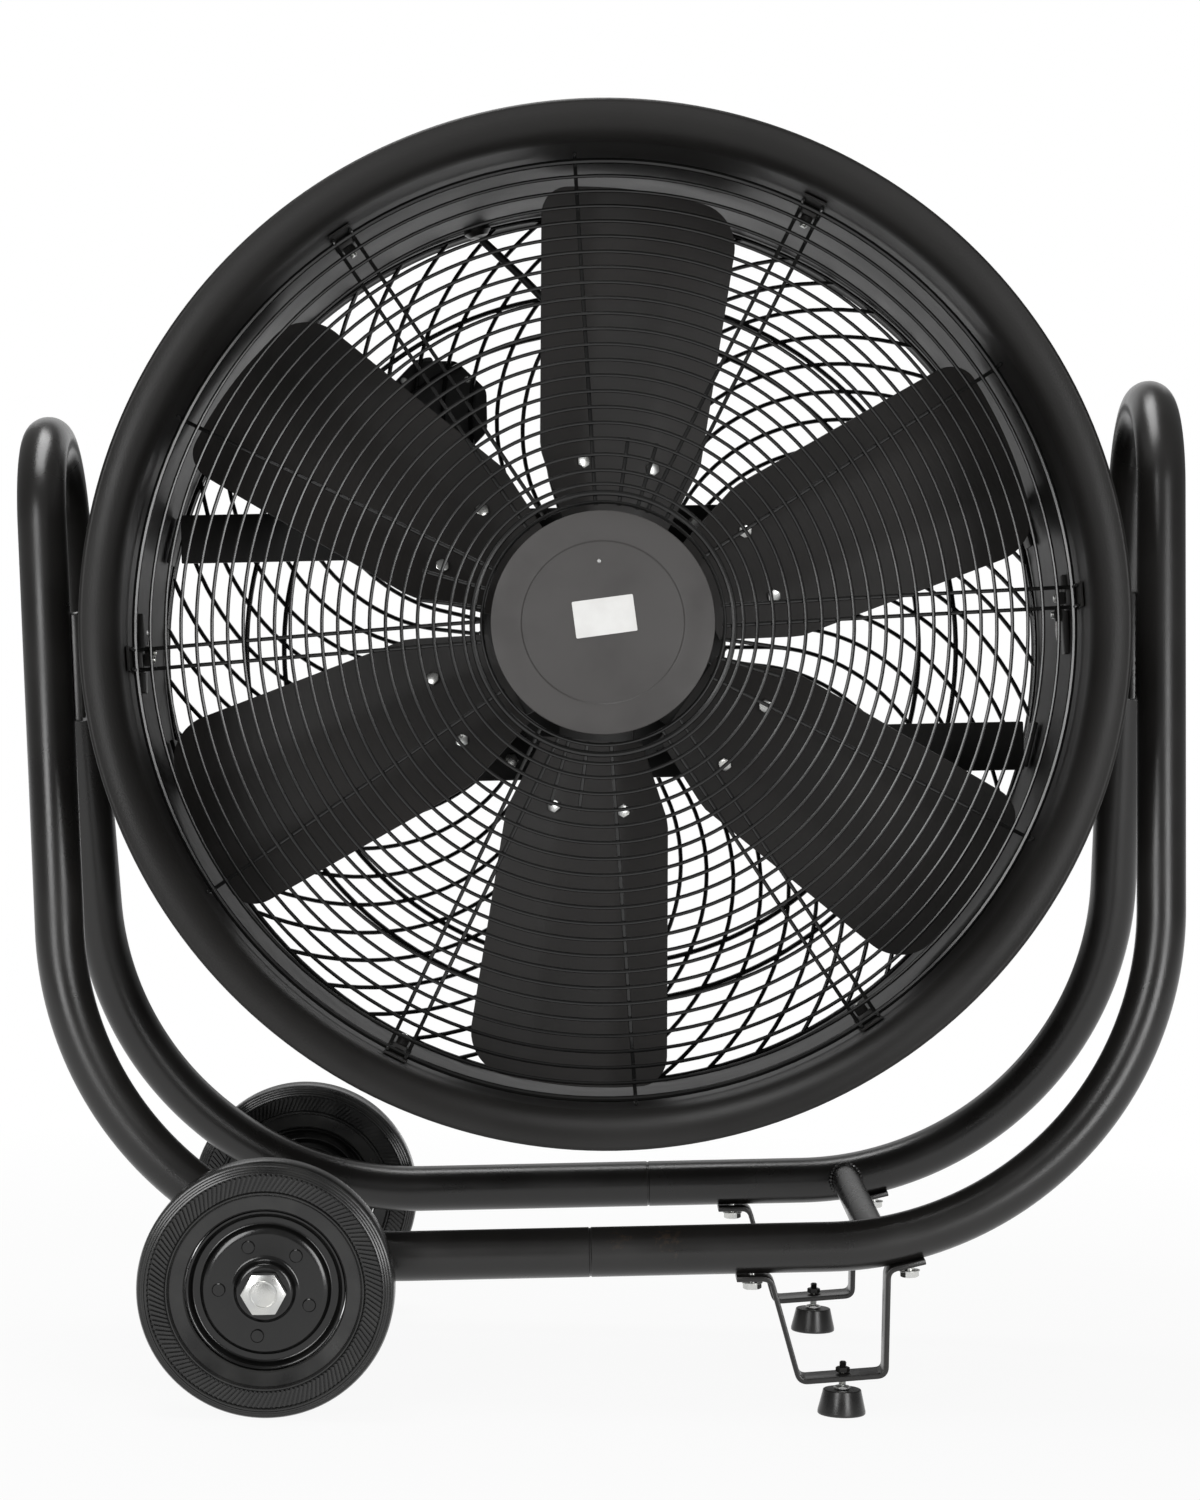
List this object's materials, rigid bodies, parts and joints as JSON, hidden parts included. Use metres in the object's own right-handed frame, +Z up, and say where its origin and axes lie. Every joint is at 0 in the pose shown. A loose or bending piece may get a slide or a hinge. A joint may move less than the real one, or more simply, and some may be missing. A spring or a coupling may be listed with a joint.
{
  "type": "drum fan",
  "caption": "Tilting drum fan in a tubular steel cradle, with wire guards front and rear, pitched sheet blades, wheels at one end and rubber feet at the other.",
  "frame": {"origin": "centre of the bounding box on the floor", "axes": "+Z up, the air leaves towards -Y, the wheels are on the -X side and the feet on the +X side"},
  "size_m": [0.9684, 0.5616, 1.0503],
  "materials": {
    "cradle_paint": "satin black powder coat, scuffed where it meets the floor",
    "drum_paint": "satin black powder coat with a light orange-peel",
    "wire_paint": "black coated steel wire",
    "blade_paint": "matte charcoal coat on sheet steel",
    "grey_paint": "matte mid-grey coat",
    "motor_paint": "matte black coat",
    "zinc": "bright zinc plating",
    "tyre": "black rubber, slightly glossy",
    "rubber": "matte black rubber",
    "plastic": "black moulded plastic",
    "wheel_plastic": "glossy black moulded plastic",
    "paper": "bare white label film"
  },
  "bodies": {
    "stand": {"cradle_left": "cradle_paint", "cradle_right": "cradle_paint", "cross_bar": "cradle_paint", "pivot_plate_left": "cradle_paint", "pivot_plate_right": "cradle_paint", "axle": "zinc", "axle_nut": "zinc", "axle_bracket_front": "cradle_paint", "axle_bracket_rear": "cradle_paint", "foot_bracket_front": "cradle_paint", "foot_bracket_rear": "cradle_paint", "foot_stud_front": "zinc", "foot_stud_rear": "zinc", "rubber_foot_front": "rubber", "rubber_foot_rear": "rubber", "foot_bolt_1": "zinc", "foot_bolt_2": "zinc", "foot_bolt_3": "zinc", "foot_bolt_4": "zinc"},
    "drum": {"drum_shell": "drum_paint", "front_guard": "wire_paint", "rear_guard": "wire_paint", "centre_plate": "grey_paint", "label_plate": "paper", "guard_clip_1": "drum_paint", "guard_clip_2": "drum_paint", "guard_clip_3": "drum_paint", "guard_clip_4": "drum_paint", "guard_clip_5": "drum_paint", "guard_clip_6": "drum_paint", "motor_body": "motor_paint", "motor_cap": "motor_paint", "motor_bar_upper": "motor_paint", "motor_bar_lower": "motor_paint", "motor_lead": "rubber", "lead_grommet": "rubber", "capacitor_box": "plastic", "switch_box": "plastic", "switch_box_lid": "plastic", "cord_gland": "plastic", "pivot_stud_left": "zinc", "pivot_stud_right": "zinc"},
    "rotor": {"hub_spider": "motor_paint", "motor_shaft": "zinc", "blade_1": "blade_paint", "blade_2": "blade_paint", "blade_3": "blade_paint", "blade_4": "blade_paint", "blade_5": "blade_paint", "blade_6": "blade_paint"},
    "wheel_front": {"tyre_front": "tyre", "wheel_disc_front": "wheel_plastic", "wheel_bush_front": "wheel_plastic"},
    "wheel_rear": {"tyre_rear": "tyre", "wheel_disc_rear": "wheel_plastic", "wheel_bush_rear": "wheel_plastic"},
    "speed_knob": {"speed_knob": "plastic"},
    "tilt_knob_left": {"tilt_knob_left": "plastic"},
    "tilt_knob_right": {"tilt_knob_right": "plastic"}
  },
  "joints": [
    {"name": "drum_tilt", "type": "hinge", "parent": "stand", "child": "drum", "pos_m": [0.00629, -0.00325, 0.6189], "axis": [0.9989, 0, 0.0476], "range_deg": [-86, 94]},
    {"name": "rotor_spin", "type": "hinge", "parent": "drum", "child": "rotor", "pos_m": [0.00629, -0.00325, 0.6189], "axis": [-0.0032, -0.9977, 0.0675], "continuous": true},
    {"name": "wheel_front_spin", "type": "hinge", "parent": "stand", "child": "wheel_front", "pos_m": [-0.24838, -0.24525, 0.1016], "axis": [0, 1, 0], "continuous": true},
    {"name": "wheel_rear_spin", "type": "hinge", "parent": "stand", "child": "wheel_rear", "pos_m": [-0.24838, 0.23875, 0.1016], "axis": [0, 1, 0], "continuous": true},
    {"name": "speed_knob_turn", "type": "hinge", "parent": "drum", "child": "speed_knob", "pos_m": [-0.18379, 0.1701, 0.97971], "axis": [-0.95, -0.018, -0.3117], "range_deg": [0, 270]},
    {"name": "tilt_knob_left_turn", "type": "hinge", "parent": "drum", "child": "tilt_knob_left", "pos_m": [-0.4492, -0.00325, 0.5972], "axis": [-0.9989, 0, -0.0476], "range_deg": [0, 360]},
    {"name": "tilt_knob_right_turn", "type": "hinge", "parent": "drum", "child": "tilt_knob_right", "pos_m": [0.46177, -0.00325, 0.6406], "axis": [0.9989, 0, 0.0476], "range_deg": [0, 360]}
  ]
}
